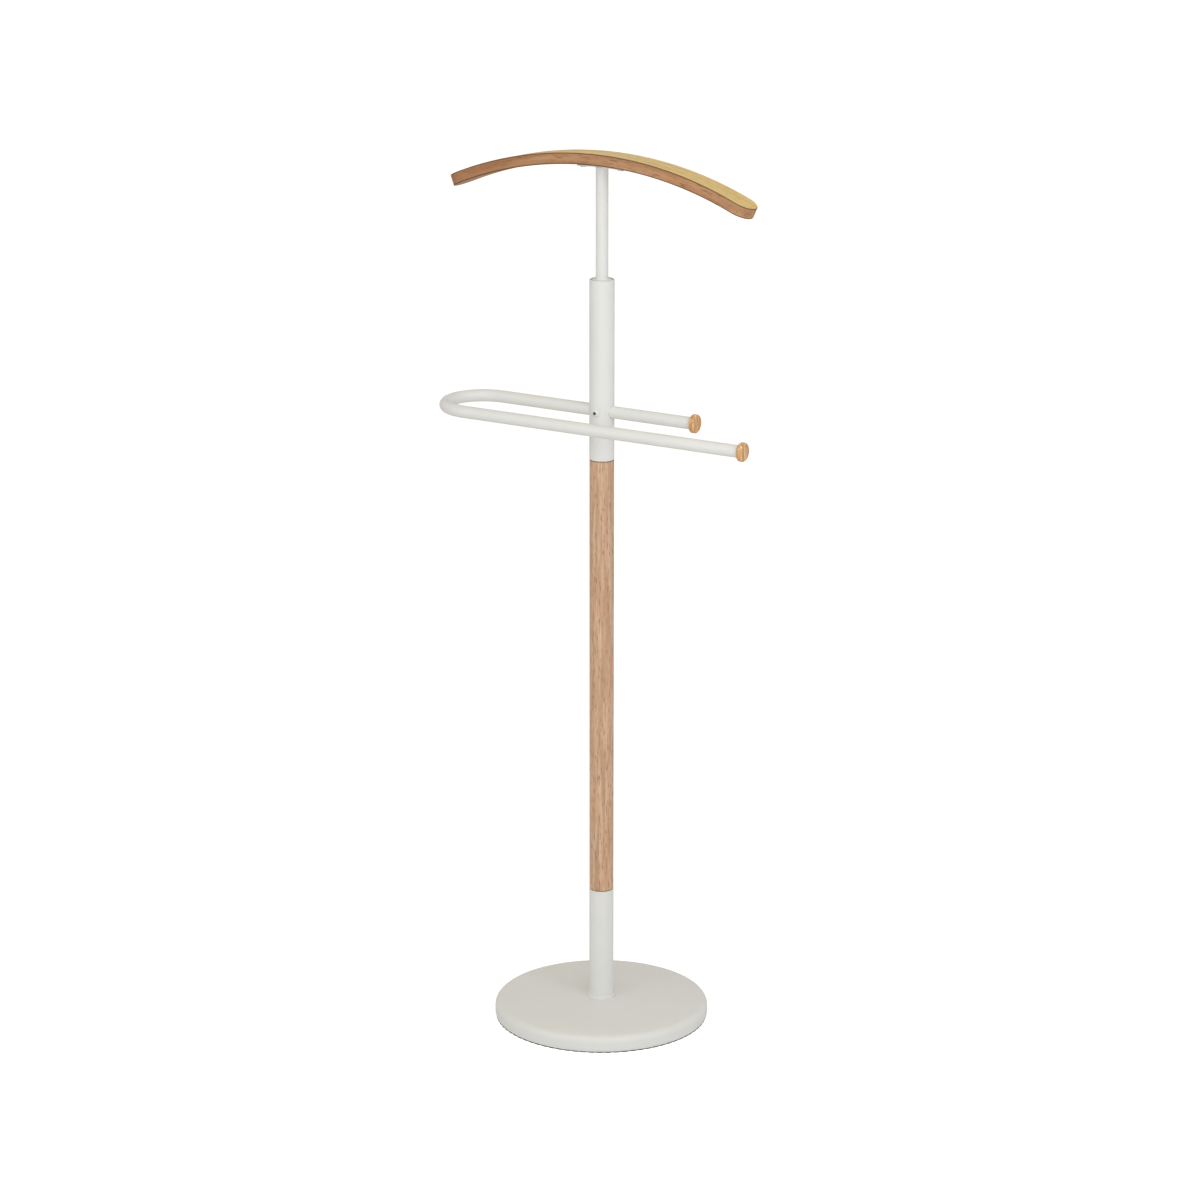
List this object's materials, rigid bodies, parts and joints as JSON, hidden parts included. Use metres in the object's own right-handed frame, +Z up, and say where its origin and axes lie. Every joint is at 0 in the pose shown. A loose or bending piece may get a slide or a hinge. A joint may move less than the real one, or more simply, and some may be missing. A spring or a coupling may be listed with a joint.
{
  "type": "valet stand",
  "caption": "Floor-standing valet stand: weighted round base, steel and wood column, U-shaped trouser bar with turned knobs, and a curved wooden hanger that turns.",
  "frame": {"origin": "centre of the round base, on the floor under the anti-slip ring", "axes": "+Z up the column; +X along the trouser bar towards its knobs; the front leg of the bar lies at -Y"},
  "size_m": [0.4775, 0.28, 1.1509],
  "materials": {
    "powder_white": "satin white powder coat on steel",
    "beech_pole": "turned beech, clear satin lacquer, grain along the pole",
    "beech_arm": "bent beech, clear satin lacquer, grain along the arc",
    "beech_knob": "turned beech, clear satin lacquer",
    "cast_iron": "rough cast, dull grey",
    "rubber_black": "matte black anti-slip rubber",
    "zinc_steel": "bright zinc plating",
    "brass_insert": "yellow zinc plated",
    "nylon_white": "moulded white nylon"
  },
  "bodies": {
    "stand": {"base_cover": "powder_white", "base_weight": "cast_iron", "anti_slip_ring": "rubber_black", "base_bolt": "zinc_steel", "base_washer": "zinc_steel", "foot_collar": "nylon_white", "foot_plug": "zinc_steel", "lower_tube": "powder_white", "lower_tube_plug": "zinc_steel", "lower_stud": "zinc_steel", "pole_insert_lower": "brass_insert", "wood_pole": "beech_pole", "pole_insert_upper": "brass_insert", "upper_stud": "zinc_steel", "upper_tube_plug": "zinc_steel", "upper_tube": "powder_white", "trouser_bar": "powder_white", "bar_rivet_nut": "zinc_steel", "bar_screw": "powder_white", "bar_plug_back": "zinc_steel", "bar_plug_front": "zinc_steel", "knob_screw_back": "zinc_steel", "knob_screw_front": "zinc_steel", "knob_back": "beech_knob", "knob_front": "beech_knob", "top_bush": "nylon_white"},
    "hanger": {"hanger_rod": "powder_white", "rod_thrust_ring": "powder_white", "rod_clip": "zinc_steel", "hanger_bracket": "powder_white", "bracket_screws": "zinc_steel", "hanger_arm": "beech_arm"}
  },
  "joints": [
    {"name": "hanger_swivel", "type": "hinge", "parent": "stand", "child": "hanger", "pos_m": [0, 0, 0.9874], "axis": [0, 0, 1], "continuous": true}
  ]
}
